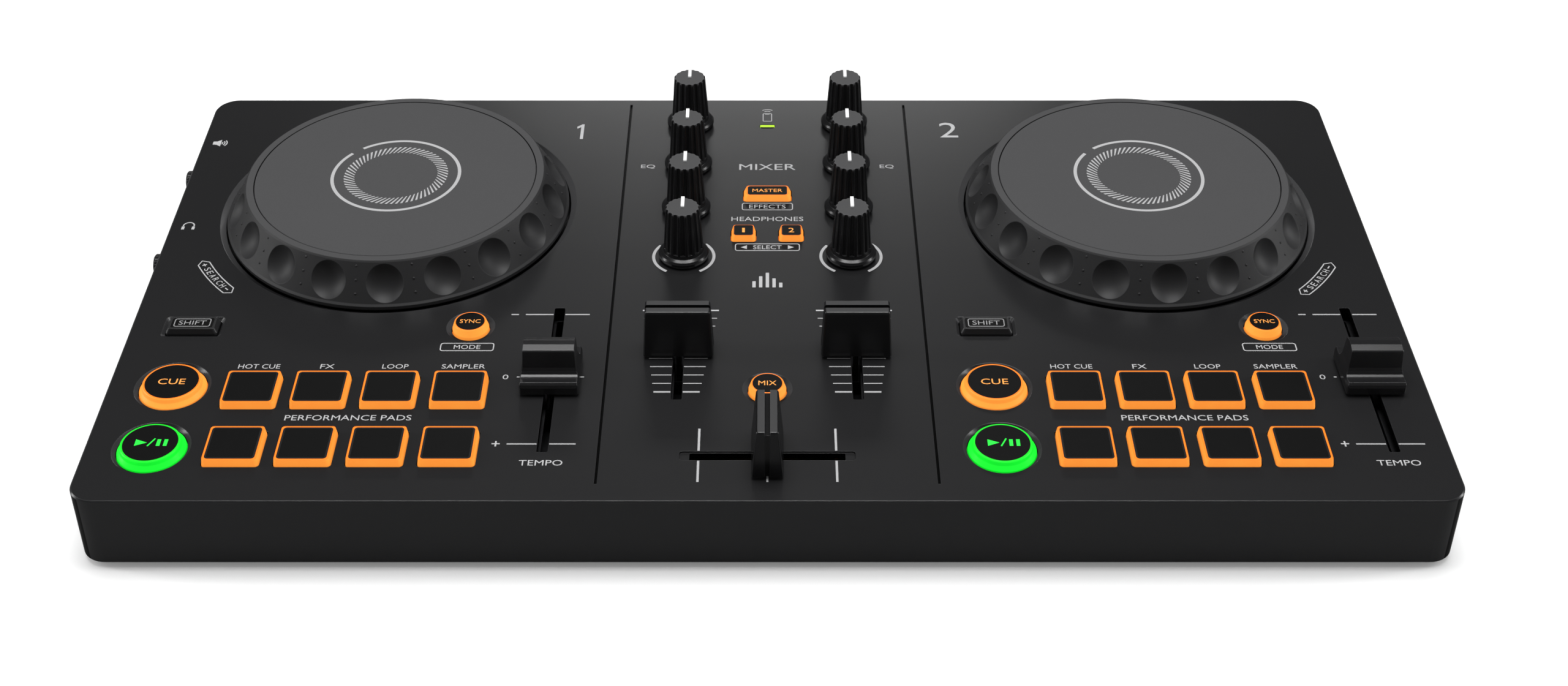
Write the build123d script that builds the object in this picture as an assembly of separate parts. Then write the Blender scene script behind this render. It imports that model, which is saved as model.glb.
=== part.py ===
from build123d import *
import math
import os

# Two-deck DJ controller, in millimetres.
# Origin: centre of the body's footprint, on the desk. +X is the player's
# right, +Y points away from the player, +Z is up. Everything is drawn with
# the knobs, faders and buttons where they rest.

# --- Body ---
body_width = 408.0
body_depth = 224.0
body_height = 23.8
foot_height = 2.2
corner_radius = 8.0
edge_chamfer = 0.5
wall = 2.2
panel_thickness = 2.4
cover_thickness = 2.0
cover_gap = 0.25

# --- Deck layout, measured from a jog wheel's centre line in X ---
deck_x = 127.05
jog_y = 40.1
round_key_x = -56.9
cue_y = -58.5
play_y = -87.7
shift_x = -57.0
upper_key_y = -27.95
pad_pitch = 21.3
pad_rows = (-61.4, -88.3)
tempo_x = 59.9
tempo_y = -53.9

# --- Mixer layout ---
channel_x = 28.0
knob_row_pitch = 27.85
first_knob_y = 11.0
channel_fader_y = -40.3
crossfader_y = -91.5
mix_key_y = -59.6
master_key_y = 47.65
headphone_key_x = 8.1
headphone_key_y = 23.35
status_light_y = 93.2
status_light = (5.6, 2.5)
status_light_gap = 0.15
groove_x = 50.35
groove_rear_y = 108.2
groove_front_y = -104.1
groove_width = 0.8
groove_depth = 0.6

# --- Jog wheel, heights from the panel ---
jog_height = 13.5
jog_lip_radius = 58.4
jog_cone_base = (57.7, 1.2)
jog_cone_top = (50.9, 13.0)
jog_plate_radius = 47.7
jog_plate_thickness = 1.9
jog_ledge_radius = 45.5
jog_web_low = 4.0
jog_web_high = 6.0
jog_bore_radius = 6.0
jog_sleeve_radius = 9.0
jog_sleeve_low = -5.2
jog_sleeve_high = 9.0
jog_running_gap = 0.05
hub_flange_radius = 14.0
washer_radius = 8.4
washer_thickness = 0.9
dimple_count = 18
dimple_radius = 6.4
dimple_sphere_radius = 9.4
dimple_phase = 13.3
well_radius = 59.0
well_depth = 7.4
well_floor = 2.0
dish_radius = 60.9
dish_depth = 1.2

# --- Keys ---
key_travel = 0.8
key_gap = 0.3
key_flange = 1.1
key_flange_thickness = 1.0
flange_gap = 0.1
key_post_radius = 2.0
plate_depth = 0.5
plate_gap = 0.05
pad_base = (16.8, 16.1)
pad_top = (16.2, 15.5)
pad_plate = (14.1, 13.5)
pad_height = 2.3
shift_base = (16.5, 7.6)
shift_top = (14.8, 6.5)
shift_plate = (13.4, 5.1)
shift_height = 1.6
shift_dish = (19.0, 10.4)
master_base = (16.4, 7.0)
master_top = (14.6, 5.9)
master_plate = (13.3, 4.9)
headphone_base = (8.2, 7.0)
headphone_top = (7.0, 6.3)
headphone_plate = (6.1, 5.6)
small_key_height = 2.2
round_dish_depth = 1.0

# Shoulder of the round keys, as (radius, height over the panel), skirt first.
large_shoulder = ((10.3, -0.8), (9.2, 0.6), (9.0, 1.6), (8.7, 1.9))
large_plate_radius = 8.25
large_dish_radius = 11.75
small_shoulder = ((5.85, -0.2), (5.15, 1.9), (4.85, 2.2))
small_plate_radius = 4.62
small_dish_radius = 7.8

# --- Knobs and dials ---
knob_height = 20.0
knob_gap = 0.6
knob_flange_radius = 8.4
knob_flange_height = 3.6
knob_base_radius = 6.65
knob_top_radius = 5.6
knob_flutes = 16
knob_flute_radius = 0.95
knob_flute_stand_off = 0.4
knob_cover = 5.0
shaft_radius = 3.0
shaft_gap = 0.05
dial_radius = 4.0
dial_proud = 4.0
dial_inside = 2.6
dial_z = 17.0
dial_rows = (70.0, 18.3)
dial_shaft_radius = 1.5
dial_shaft_length = 7.0
dial_flutes = 24
dial_flute_radius = 0.3

# --- Faders ---
tempo_travel = 64.0
channel_travel = 42.0
crossfader_travel = 41.0
tempo_slot = 71.8
channel_slot = 49.4
crossfader_slot = 46.4
slot_width = 3.4
crossfader_recess = (52.4, 4.0)
crossfader_recess_depth = 0.5
cap_base = (22.1, 9.6)
cap_top = (20.4, 6.7)
cap_low = 1.2
cap_high = 17.3
cap_groove = 1.6
cap_groove_depth = 1.3
tempo_cap_width = 18.4
tempo_cap_depth = 19.8
tempo_cap_low = 1.0
lever_thickness = 1.6
lever_length = 5.0
lever_gap = 0.05
lever_reach = 10.0

# Tempo cap from the side: half of its outline, as (distance from the middle,
# height over the panel), from the foot of a wing up to the crest.
tempo_cap_side = (
    (9.9, 3.3), (9.6, 4.4), (9.0, 5.0), (6.0, 4.75), (5.2, 5.1), (4.6, 5.9), (4.3, 7.0),
    (3.68, 12.8), (3.3, 13.1), (1.1, 13.7),
)
# Tempo cap from the front: (half width, height over the panel).
tempo_cap_front = ((9.2, 3.3), (8.8, 4.8), (8.2, 7.0), (7.88, 13.9))
slider_frame_width = 9.0
slider_frame_extra = 17.0
slider_frame_high = 20.8
slider_frame_wall = 1.0

# --- Inside ---
board_width = 400.0
board_depth = 216.0
board_low = 9.0
board_thickness = 1.6
switch_size = 6.0
switch_body_height = 3.5
switch_top = 15.0
screw_radius = 1.3
screw_hole_radius = 1.35
screw_head_radius = 2.7
boss_radius = 4.5
boss_tip_radius = 3.0
boss_places = (
    (-193, 101), (193, 101), (-193, -103), (193, -103), (-46, -103), (46, -103),
    (-50, 101), (50, 101), (0, -6), (-196, -9), (196, -9),
)
foot_radius = 7.0
foot_places = ((-176, 88), (176, 88), (-176, -96), (176, -96))
foot_seat = 0.5

# --- Sockets ---
usb_places = (62.0, 86.0)
usb_width = 9.0
usb_height = 3.3
usb_length = 8.0
usb_z = 12.5
rca_places = (-180.0, -164.0)
rca_z = 16.4
rca_barrel_radius = 4.15
rca_hole_radius = 6.3
rca_length = 8.6
jack_y = 43.0
jack_z = 13.8
jack_bore_radius = 1.8
jack_nose_radius = 3.0
jack_length = 14.0

# --- Heights worked out from the above ---
panel_top = foot_height + body_height
panel_low = panel_top - panel_thickness
cover_top = foot_height + cover_thickness
board_top = board_low + board_thickness
well_low = panel_top - well_depth
inner_half_width = body_width / 2 - wall
inner_half_depth = body_depth / 2 - wall


def block(width, depth, low, high, radius=0.0):
    """Upright block centred on Z, with round corners if a radius is given."""
    outline = RectangleRounded(width, depth, radius) if radius else Rectangle(width, depth)
    return Pos(0, 0, low) * extrude(outline, high - low)


def tapered_block(base, top, low, high, radius):
    """Upright block whose sides lean in from the base size to the top size."""
    lower = Pos(0, 0, low) * RectangleRounded(base[0], base[1], radius)
    upper = Pos(0, 0, high) * RectangleRounded(top[0], top[1], radius)
    return loft([lower, upper])


def rod(radius, low, high):
    """Upright cylinder on Z between two heights."""
    return Pos(0, 0, low) * extrude(Circle(radius), high - low)


def turned(profile):
    """Solid turned about Z from (radius, height) points."""
    outline = Plane.XZ * Polyline(*profile, close=True)
    return revolve(make_face(outline), Axis.Z)


def along_y(shape):
    """Turn an upright shape so that its top faces +Y."""
    return Rot(-90, 0, 0) * shape


def along_x(shape):
    """Turn an upright shape so that its top faces -X."""
    return Rot(0, -90, 0) * shape


def write(name, shapes):
    """Export one node, which may hold several separate solids."""
    node = shapes[0] if len(shapes) == 1 else Compound(children=list(shapes))
    export_step(node, f"parts/{name}.step")


# --- Where each control stands ---

def deck_centres():
    return ((1, -deck_x), (2, deck_x))


def pad_places(centre):
    """Pads 1 to 4 in the rear row, then 5 to 8 in the front row."""
    places = []
    for y in pad_rows:
        for column in range(4):
            places.append((centre + (column - 1.5) * pad_pitch, y))
    return places


def knob_places(side):
    names = ("filter", "low", "mid", "high")
    return [(name, side * channel_x, first_knob_y + row * knob_row_pitch) for row, name in enumerate(names)]


def round_keys():
    """Name, place, shoulder, plate radius and dish radius of each round key."""
    large = (large_shoulder, large_plate_radius, large_dish_radius)
    small = (small_shoulder, small_plate_radius, small_dish_radius)
    keys = [("mix_button", 0.0, mix_key_y, *small)]
    for deck, centre in deck_centres():
        keys.append((f"cue_button_{deck}", centre + round_key_x, cue_y, *large))
        keys.append((f"play_button_{deck}", centre + round_key_x, play_y, *large))
        keys.append((f"sync_button_{deck}", centre + 1.5 * pad_pitch, upper_key_y, *small))
    return keys


def square_keys():
    """Name, place, sizes (base, top, plate) and height of each square key."""
    keys = [("master_button", 0.0, master_key_y, master_base, master_top, master_plate, small_key_height)]
    for number, side in ((1, -1), (2, 1)):
        x = side * headphone_key_x
        sizes = (headphone_base, headphone_top, headphone_plate)
        keys.append((f"headphone_button_{number}", x, headphone_key_y, *sizes, small_key_height))
    for deck, centre in deck_centres():
        sizes = (shift_base, shift_top, shift_plate)
        keys.append((f"shift_button_{deck}", centre + shift_x, upper_key_y, *sizes, shift_height))
        for number, (x, y) in enumerate(pad_places(centre), start=1):
            keys.append((f"pad_{deck}_{number}", x, y, pad_base, pad_top, pad_plate, pad_height))
    return keys


def sliders():
    """Name, place, direction, travel and panel slot length of each fader."""
    items = [("crossfader", 0.0, crossfader_y, "x", crossfader_travel, crossfader_slot)]
    for deck, centre in deck_centres():
        side = math.copysign(channel_x, centre)
        items.append((f"tempo_slider_{deck}", centre + tempo_x, tempo_y, "y", tempo_travel, tempo_slot))
        items.append((f"channel_fader_{deck}", side, channel_fader_y, "y", channel_travel, channel_slot))
    return items


def turn_to(direction, shape):
    """Shapes drawn along Y stay, or turn to run along X."""
    return Rot(0, 0, 90) * shape if direction == "x" else shape


# --- Case ---

def well_cut():
    """Round opening under a jog wheel, with its shallow dish in the panel."""
    above = panel_top + 1
    return turned([
        (0, well_low), (well_radius, well_low), (well_radius, panel_top - dish_depth),
        (dish_radius, panel_top), (dish_radius, above), (0, above),
    ])


def round_key_cut(base, dish):
    """Hole for a round key, with the cone that leads down to it."""
    hole = base + key_gap
    return turned([
        (0, panel_low - 1), (hole, panel_low - 1), (hole, panel_top - round_dish_depth),
        (dish, panel_top), (dish, panel_top + 1), (0, panel_top + 1),
    ])


def square_key_cut(base):
    return block(base[0] + 2 * key_gap, base[1] + 2 * key_gap, panel_low - 1, panel_top + 1, 1.3)


def shift_dish_cut():
    low = (shift_base[0] + 2 * key_gap, shift_base[1] + 2 * key_gap)
    return tapered_block(low, shift_dish, panel_top - round_dish_depth, panel_top + 0.001, 1.3)


def case_blank():
    """Outer shell, open below, with the wells and screw bosses standing in it."""
    outer = block(body_width, body_depth, foot_height, panel_top, corner_radius)
    outer = chamfer(outer.faces().sort_by(Axis.Z)[-1].edges(), edge_chamfer)
    inside_radius = corner_radius - wall
    inner = block(2 * inner_half_width, 2 * inner_half_depth, foot_height - 1, panel_low, inside_radius)
    shell = outer - inner
    extras = []
    for _, centre in deck_centres():
        extras.append(Pos(centre, jog_y, 0) * rod(well_radius + wall, well_low - well_floor, panel_low))
    for x, y in boss_places:
        extras.append(Pos(x, y, 0) * rod(boss_radius, board_top, panel_low))
        extras.append(Pos(x, y, 0) * rod(boss_tip_radius, cover_top, board_top))
    return shell + extras


def panel_cuts():
    """Everything that opens or marks the top panel."""
    cuts = []
    for _, centre in deck_centres():
        cuts.append(Pos(centre, jog_y, 0) * well_cut())
        cuts.append(Pos(centre, jog_y, 0) * rod(3.2, well_low - well_floor - 1, well_low))
        cuts.append(Pos(centre + shift_x, upper_key_y, 0) * shift_dish_cut())
    for _, x, y, shoulder, _, dish in round_keys():
        cuts.append(Pos(x, y, 0) * round_key_cut(shoulder[0][0], dish))
    for _, x, y, base, _, _, _ in square_keys():
        cuts.append(Pos(x, y, 0) * square_key_cut(base))
    for _, x, y, direction, _, slot in sliders():
        opening = block(slot_width, slot, panel_low - 1, panel_top + 1, 0.6)
        cuts.append(Pos(x, y, 0) * turn_to(direction, opening))
    recess = block(*crossfader_recess, panel_top - crossfader_recess_depth, panel_top + 1, 1.0)
    cuts.append(Pos(0, crossfader_y, 0) * recess)
    for side in (-1, 1):
        for _, x, y in knob_places(side):
            cuts.append(Pos(x, y, 0) * rod(shaft_radius + 0.7, panel_low - 1, panel_top + 1))
        length = groove_rear_y - groove_front_y
        groove = block(groove_width, length, panel_top - groove_depth, panel_top + 1)
        cuts.append(Pos(side * groove_x, (groove_rear_y + groove_front_y) / 2, 0) * groove)
    light = block(*status_light, panel_low - 1, panel_top + 1, 1.1)
    cuts.append(Pos(0, status_light_y, 0) * light)
    return cuts


def side_cuts():
    """Openings in the left and rear walls, and the screw holes in the bosses."""
    cuts = []
    left = -body_width / 2
    for y in dial_rows:
        cuts.append(Pos(left - 1, y, dial_z) * along_x(rod(dial_radius + 0.35, -4.5, 0)))
    cuts.append(Pos(left - 1, jack_y, jack_z) * along_x(rod(jack_nose_radius + 0.2, -4.5, 0)))
    rear = body_depth / 2
    for x in usb_places:
        mouth = extrude(RectangleRounded(usb_width + 0.7, usb_height + 0.7, 1.9), 5)
        cuts.append(Pos(x, rear - 4, usb_z) * along_y(mouth))
    for x in rca_places:
        cuts.append(Pos(x, rear - 4, rca_z) * along_y(rod(rca_hole_radius, 0, 5)))
    for x, y in boss_places:
        cuts.append(Pos(x, y, 0) * rod(screw_hole_radius, cover_top - 1, cover_top + 12))
    return cuts


def top_case():
    return case_blank() - panel_cuts() - side_cuts()


def bottom_cover():
    """Flat cover inside the case's rim, with screw seats and foot pockets."""
    width = 2 * (inner_half_width - cover_gap)
    depth = 2 * (inner_half_depth - cover_gap)
    cover = block(width, depth, foot_height, cover_top, corner_radius - wall - cover_gap)
    cuts = []
    for x, y in boss_places:
        cuts.append(Pos(x, y, 0) * rod(screw_radius + 0.2, foot_height - 1, cover_top + 1))
        cuts.append(Pos(x, y, 0) * rod(screw_head_radius + 0.3, foot_height - 1, foot_height + 1.2))
    for x, y in foot_places:
        cuts.append(Pos(x, y, 0) * rod(foot_radius, foot_height - 1, foot_height + foot_seat))
    return cover - cuts


def case_screw():
    """Pan-head screw, head down, with a cross recess."""
    head_low = foot_height + 0.1
    head_high = foot_height + 1.2
    screw = rod(screw_head_radius, head_low, head_high) + rod(screw_radius, head_high, cover_top + 10)
    slot = block(3.0, 0.7, head_low - 1, head_low + 0.7)
    return screw - [slot, Rot(0, 0, 90) * slot]


def rubber_foot():
    seat = foot_height + foot_seat
    return turned([(0, 0), (foot_radius - 0.6, 0), (foot_radius, 0.6), (foot_radius, seat), (0, seat)])


# --- Jog wheels ---

def dimple_cutters(low):
    """Balls that scoop the finger dimples out of the jog wheel's sloping side."""
    run = jog_cone_base[0] - jog_cone_top[0]
    rise = jog_cone_top[1] - jog_cone_base[1]
    slope = math.hypot(run, rise)
    stand_off = math.sqrt(dimple_sphere_radius**2 - dimple_radius**2)
    radius = (jog_cone_base[0] + jog_cone_top[0]) / 2 + stand_off * rise / slope
    height = (jog_cone_base[1] + jog_cone_top[1]) / 2 + stand_off * run / slope
    cutters = []
    for step in range(dimple_count):
        angle = dimple_phase + step * 360 / dimple_count
        cutters.append(Rot(0, 0, angle) * Pos(radius, 0, low + height) * Sphere(dimple_sphere_radius))
    return cutters


def jog_rim():
    """Dimpled outer wheel, its web and the sleeve that turns on the hub."""
    plate_low = jog_height - jog_plate_thickness
    seam = jog_plate_radius + 0.3
    outline = [
        (46, -1), (58, -1), (jog_lip_radius, -0.5), (jog_lip_radius, 0.6), jog_cone_base, jog_cone_top,
        (50.4, jog_height), (seam, jog_height), (seam, plate_low), (jog_ledge_radius, plate_low),
        (jog_ledge_radius, jog_web_high), (jog_sleeve_radius, jog_web_high),
        (jog_sleeve_radius, jog_sleeve_high), (jog_bore_radius, jog_sleeve_high),
        (jog_bore_radius, jog_sleeve_low), (jog_sleeve_radius, jog_sleeve_low),
        (jog_sleeve_radius, jog_web_low), (46, jog_web_low),
    ]
    return turned([(r, z + panel_top) for r, z in outline]) - dimple_cutters(panel_top)


def jog_plate():
    """Flat top plate, dropped into the rim, with a locating ring below."""
    low = panel_top + jog_height - jog_plate_thickness
    high = panel_top + jog_height
    ring = jog_ledge_radius - 0.15
    return turned([
        (0, low), (ring - 1.8, low), (ring - 1.8, low - 1.4), (ring, low - 1.4), (ring, low),
        (jog_plate_radius, low), (jog_plate_radius, high - 0.2), (jog_plate_radius - 0.2, high), (0, high),
    ])


def jog_hub():
    """Fixed post that the jog wheel turns on, and the washer that holds it down."""
    post_radius = jog_bore_radius - jog_running_gap
    flange_high = panel_top + jog_sleeve_low - 0.2
    post_high = panel_top + jog_sleeve_high + 0.15
    spigot_low = well_low - well_floor
    post = turned([
        (0, spigot_low), (3.0, spigot_low), (3.0, well_low), (hub_flange_radius, well_low),
        (hub_flange_radius, flange_high), (post_radius, flange_high), (post_radius, post_high),
        (0, post_high),
    ])
    washer = rod(washer_radius, post_high, post_high + washer_thickness)
    return [post, washer]


# --- Keys ---

def key_stem(half_width, half_depth, round_key):
    """Flange under the panel that holds a key in, and its post to the switch."""
    high = panel_low - flange_gap
    low = high - key_flange_thickness
    if round_key:
        flange = rod(half_width + key_flange, low, high)
    else:
        flange = block(2 * (half_width + key_flange), 2 * (half_depth + key_flange), low, high, 1.5)
    post = rod(key_post_radius, switch_top + key_travel + 0.1, low)
    return flange + post


def square_key(base, top, plate, height):
    """Key with leaning sides and a thin plate let into its top."""
    high = panel_top + height
    shank = block(base[0], base[1], panel_low - flange_gap, panel_top, 1.0)
    head = tapered_block(base, top, panel_top, high, 1.0)
    pocket = block(plate[0], plate[1], high - plate_depth, high + 1, 0.6)
    body = shank + head + key_stem(base[0] / 2, base[1] / 2, False) - pocket
    size = (plate[0] - 2 * plate_gap, plate[1] - 2 * plate_gap)
    return [body, block(size[0], size[1], high - plate_depth, high, 0.55)]


def round_key(shoulder, plate):
    """Round key: straight skirt, leaning shoulder and a thin disc in its top."""
    base = shoulder[0][0]
    low = panel_low - flange_gap
    high = panel_top + shoulder[-1][1]
    side = [(radius, panel_top + height) for radius, height in shoulder]
    body = turned([(0, low), (base, low), *side, (0, high)])
    body = body + key_stem(base, base, True) - rod(plate, high - plate_depth, high + 1)
    return [body, rod(plate - plate_gap, high - plate_depth, high)]


# --- Knobs and dials ---

def flute_cutter(base_radius, top_radius, low, high):
    """Leaning cylinder that cuts one finger flute in a knob's side."""
    lean = math.degrees(math.atan2(base_radius - top_radius, high - low))
    length = (high - low) + 3
    cutter = extrude(Circle(knob_flute_radius), length)
    return Pos(base_radius + knob_flute_stand_off, 0, low) * Rot(0, -lean, 0) * cutter


def knob_body():
    """Fluted cap with a rounded flange at its foot and a hollow for the shaft."""
    low = panel_top + knob_gap
    high = panel_top + knob_height
    foot = low + knob_flange_height
    outline = [
        (shaft_radius, low + 1.0), (7.0, low + 1.0), (7.4, low), (knob_flange_radius - 0.3, low),
        (knob_flange_radius, low + 0.6), (knob_flange_radius, low + 1.5),
        (knob_flange_radius - 0.5, low + 2.1),
        (knob_base_radius + 0.25, low + 2.7), (knob_base_radius, foot), (knob_top_radius, high - 0.3),
        (knob_top_radius - 0.3, high), (0, high), (0, high - knob_cover), (shaft_radius, high - knob_cover),
    ]
    knob = turned(outline)
    cutter = flute_cutter(knob_base_radius, knob_top_radius, foot + 0.4, high)
    step = 360 / knob_flutes
    return knob - [Rot(0, 0, index * step + 90) * cutter for index in range(knob_flutes)]


def knob_shaft():
    """Metal shaft that turns inside its potentiometer's bush, up into the knob."""
    knob_low = panel_top + knob_gap + 1.0
    lower = rod(shaft_radius, board_top + 2.6, knob_low)
    upper = rod(shaft_radius - 0.05, knob_low, panel_top + knob_height - knob_cover - 0.1)
    return lower + upper


def knob_potentiometer():
    """Square body on the board with a bush that guides the shaft."""
    body = block(9.6, 9.6, board_top, board_top + 6.4, 0.6)
    bush = rod(4.4, board_top + 6.4, panel_low - 1.2)
    return body + bush - rod(shaft_radius + shaft_gap, board_top + 2.4, panel_top)


def side_dial(y):
    """Small ribbed dial on the left wall, with the shaft it turns on."""
    outer = dial_proud + dial_inside
    dial = rod(dial_radius, 0, outer)
    dial = chamfer(dial.faces().sort_by(Axis.Z)[-1].edges(), 0.5)
    flute = Pos(dial_radius + 0.1, 0, 0) * rod(dial_flute_radius, dial_inside, outer + 1)
    step = 360 / dial_flutes
    dial = dial - [Rot(0, 0, index * step) * flute for index in range(dial_flutes)]
    shaft = rod(dial_shaft_radius, -dial_shaft_length, 0)
    inner_face = -body_width / 2 + dial_inside
    return [Pos(inner_face, y, dial_z) * along_x(piece) for piece in (dial, shaft)]


def dial_potentiometer(y):
    """Upright pot behind the left wall, standing on the board by its legs."""
    inner_face = -body_width / 2 + dial_inside
    body = block(5.0, 9.0, board_top + 1.4, dial_z + 4.6, 0.4)
    legs = [Pos(0, offset, 0) * block(1.0, 1.0, board_top, board_top + 1.4) for offset in (-2.5, 0, 2.5)]
    placed = Pos(inner_face + 5.0, y, 0) * (body + legs)
    reach = dial_shaft_length + 0.2
    bore = Pos(inner_face, y, dial_z) * along_x(rod(dial_shaft_radius + shaft_gap, -reach, 0))
    return placed - bore


# --- Faders ---

def fader_cap():
    """Tall cap, drawn with its long side along X, with a groove over the top."""
    low = panel_top + cap_low
    high = panel_top + cap_high
    cap = tapered_block(cap_base, cap_top, low, high, 0.9)
    cap = fillet(cap.faces().sort_by(Axis.Z)[-1].edges(), 0.7)
    groove = block(cap_base[0] + 2, cap_groove, high - cap_groove_depth, high + 1)
    end_groove = block(1.0, cap_groove, low - 1, high + 1)
    ends = []
    for side in (-1, 1):
        lean = math.degrees(math.atan2((cap_base[0] - cap_top[0]) / 2, high - low))
        pivot = Pos(side * cap_base[0] / 2, 0, low)
        ends.append(pivot * Rot(0, -side * lean, 0) * Pos(0, 0, -low) * end_groove)
    return cap - [groove, *ends]


def mirrored(half):
    """Closed outline from (distance, height) points of its right half, foot first."""
    low = panel_top + tempo_cap_low
    right = [(half[0][0], low)] + [(distance, panel_top + height) for distance, height in half]
    left = [(-distance, height) for distance, height in reversed(right)]
    return Polyline(*(right + left), close=True)


def tempo_cap():
    """Tall finger block across the cap's middle, with a low wing front and rear."""
    side = extrude(make_face(Plane.YZ * mirrored(tempo_cap_side)), tempo_cap_width, both=True)
    front = extrude(make_face(Plane.XZ * mirrored(tempo_cap_front)), tempo_cap_depth, both=True)
    plan = block(tempo_cap_width, tempo_cap_depth, panel_top, panel_top + 20, 1.0)
    return side & front & plan


def slider_frame(travel):
    """Metal case of a slide potentiometer, along Y, open in a slot above."""
    length = travel + slider_frame_extra
    outer = block(slider_frame_width, length, board_top, slider_frame_high, 0.5)
    inner_width = slider_frame_width - 2 * slider_frame_wall
    inner_length = length - 2 * slider_frame_wall
    hollow = block(inner_width, inner_length, board_top + 1, slider_frame_high - slider_frame_wall)
    slot_length = travel + lever_length + 2
    slot = block(lever_thickness + 1.0, slot_length, board_top + 2, slider_frame_high + 1, 0.8)
    return outer - [hollow, slot]


def slider_lever(cap_pocket_top):
    """Carriage and blade of a slide potentiometer, drawn for travel along Y."""
    carriage = block(5.6, 9.0, board_top + 3.2, board_top + 6.2, 0.4)
    blade = block(lever_thickness, lever_length, board_top + 6.2, cap_pocket_top)
    return carriage + blade


def slider_pieces(name, direction):
    """Cap and lever of a fader at the middle of its travel."""
    pocket_high = panel_top + lever_reach
    cap = tempo_cap() if name.startswith("tempo") else fader_cap()
    pocket = block(lever_thickness + 2 * lever_gap, lever_length + 2 * lever_gap, panel_top, pocket_high)
    lever = slider_lever(pocket_high)
    return [turn_to(direction, cap - pocket), turn_to(direction, lever)]


# --- Electronics ---

def main_board():
    """Circuit board that carries every switch, potentiometer and socket."""
    board = block(board_width, board_depth, board_low, board_top, 5.0)
    hole = rod(boss_tip_radius + 0.2, board_low - 1, board_top + 1)
    return board - [Pos(x, y, 0) * hole for x, y in boss_places]


def key_switch():
    """Push switch under a key, drawn with its plunger pushed in."""
    body_high = board_top + switch_body_height
    body = block(switch_size, switch_size, board_top, body_high, 0.5)
    return body + rod(1.7, body_high, switch_top)


def usb_port(x):
    """Hollow metal shell with its contact tongue."""
    rear = body_depth / 2 - 0.4
    shell = extrude(RectangleRounded(usb_width, usb_height, 1.6), usb_length)
    hollow = Pos(0, 0, 1.4) * extrude(RectangleRounded(usb_width - 0.6, usb_height - 0.6, 1.3), usb_length)
    tongue = Pos(0, 0, 1.4) * extrude(Rectangle(6.6, 0.7), usb_length - 2.4)
    port = along_y(shell - hollow + tongue)
    foot = block(usb_width - 1, usb_length - 3, board_top, usb_z - usb_height / 2 + 0.1)
    return Pos(x, rear - usb_length, usb_z) * port + Pos(x, rear - usb_length / 2 - 1, 0) * foot


def rca_jack(x):
    """Phono socket: a housing on the board and a hollow barrel facing the rear."""
    rear = body_depth / 2 - 0.3
    housing_rear = rear - rca_length
    housing = Pos(x, housing_rear - 4.5, 0) * block(11.0, 9.0, board_top, rca_z + 5.5, 0.5)
    barrel = rod(rca_barrel_radius, 0, rca_length)
    socket = rod(1.6, rca_length - 7.6, rca_length + 1)
    annulus = rod(rca_barrel_radius - 0.5, 2.0, rca_length + 1) - rod(2.9, 1.0, rca_length + 2)
    return housing + Pos(x, housing_rear, rca_z) * along_y(barrel - [socket, annulus])


def headphone_jack():
    """Socket for a 3.5 mm plug: a housing on the board with a round nose."""
    outer = body_width / 2 - 0.3
    housing = Pos(-inner_half_width + 7.0, jack_y, 0) * block(13.0, 7.0, board_top, jack_z + 3.2, 0.4)
    nose = along_x(rod(jack_nose_radius, 0, outer - inner_half_width + 1.0))
    nose = Pos(-inner_half_width + 1.0, jack_y, jack_z) * nose
    bore = Pos(-outer, jack_y, jack_z) * along_x(rod(jack_bore_radius, -jack_length, 1))
    return housing + nose - bore


def status_light_pipe():
    """Clear bar that carries the light from the board to the panel."""
    width, depth = status_light
    gap = 2 * status_light_gap
    head = block(width - gap, depth - gap, panel_low - 0.6, panel_top + 0.15, 1.0)
    stem = block(3.0, 1.4, board_top, panel_low - 0.6, 0.4)
    return head + stem


# --- Write every node ---

def write_case():
    write("top_case", [top_case()])
    write("bottom_cover", [bottom_cover()])
    write("case_screws", [Pos(x, y, 0) * case_screw() for x, y in boss_places])
    write("rubber_feet", [Pos(x, y, 0) * rubber_foot() for x, y in foot_places])


def write_jogs():
    rim = jog_rim()
    plate = jog_plate()
    hubs = []
    for deck, centre in deck_centres():
        place = Pos(centre, jog_y, 0)
        write(f"jog_{deck}_rim", [place * rim])
        write(f"jog_{deck}_plate", [place * plate])
        hubs += [place * piece for piece in jog_hub()]
    write("jog_hubs", hubs)


def write_keys():
    switches = []
    for name, x, y, shoulder, plate, _ in round_keys():
        write(name, [Pos(x, y, 0) * piece for piece in round_key(shoulder, plate)])
        switches.append(Pos(x, y, 0) * key_switch())
    for name, x, y, base, top, plate, height in square_keys():
        write(name, [Pos(x, y, 0) * piece for piece in square_key(base, top, plate, height)])
        switches.append(Pos(x, y, 0) * key_switch())
    write("key_switches", switches)


def write_knobs():
    knob = knob_body()
    shaft = knob_shaft()
    pots = [dial_potentiometer(y) for y in dial_rows]
    for channel, side in ((1, -1), (2, 1)):
        for name, x, y in knob_places(side):
            place = Pos(x, y, 0)
            write(f"{name}_knob_{channel}", [place * knob, place * shaft])
            pots.append(place * knob_potentiometer())
    write("potentiometers", pots)
    for name, y in zip(("master_level_dial", "headphone_level_dial"), dial_rows):
        write(name, side_dial(y))


def write_faders():
    frames = []
    for name, x, y, direction, travel, _ in sliders():
        place = Pos(x, y, 0)
        write(name, [place * piece for piece in slider_pieces(name, direction)])
        frames.append(place * turn_to(direction, slider_frame(travel)))
    write("slider_frames", frames)


def write_electronics():
    write("main_board", [main_board()])
    write("usb_ports", [usb_port(x) for x in usb_places])
    write("rca_jacks", [rca_jack(x) for x in rca_places])
    write("headphone_jack", [headphone_jack()])
    write("status_light_pipe", [Pos(0, status_light_y, 0) * status_light_pipe()])


os.makedirs("parts", exist_ok=True)
write_case()
write_jogs()
write_keys()
write_knobs()
write_faders()
write_electronics()
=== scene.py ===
import math

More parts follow.
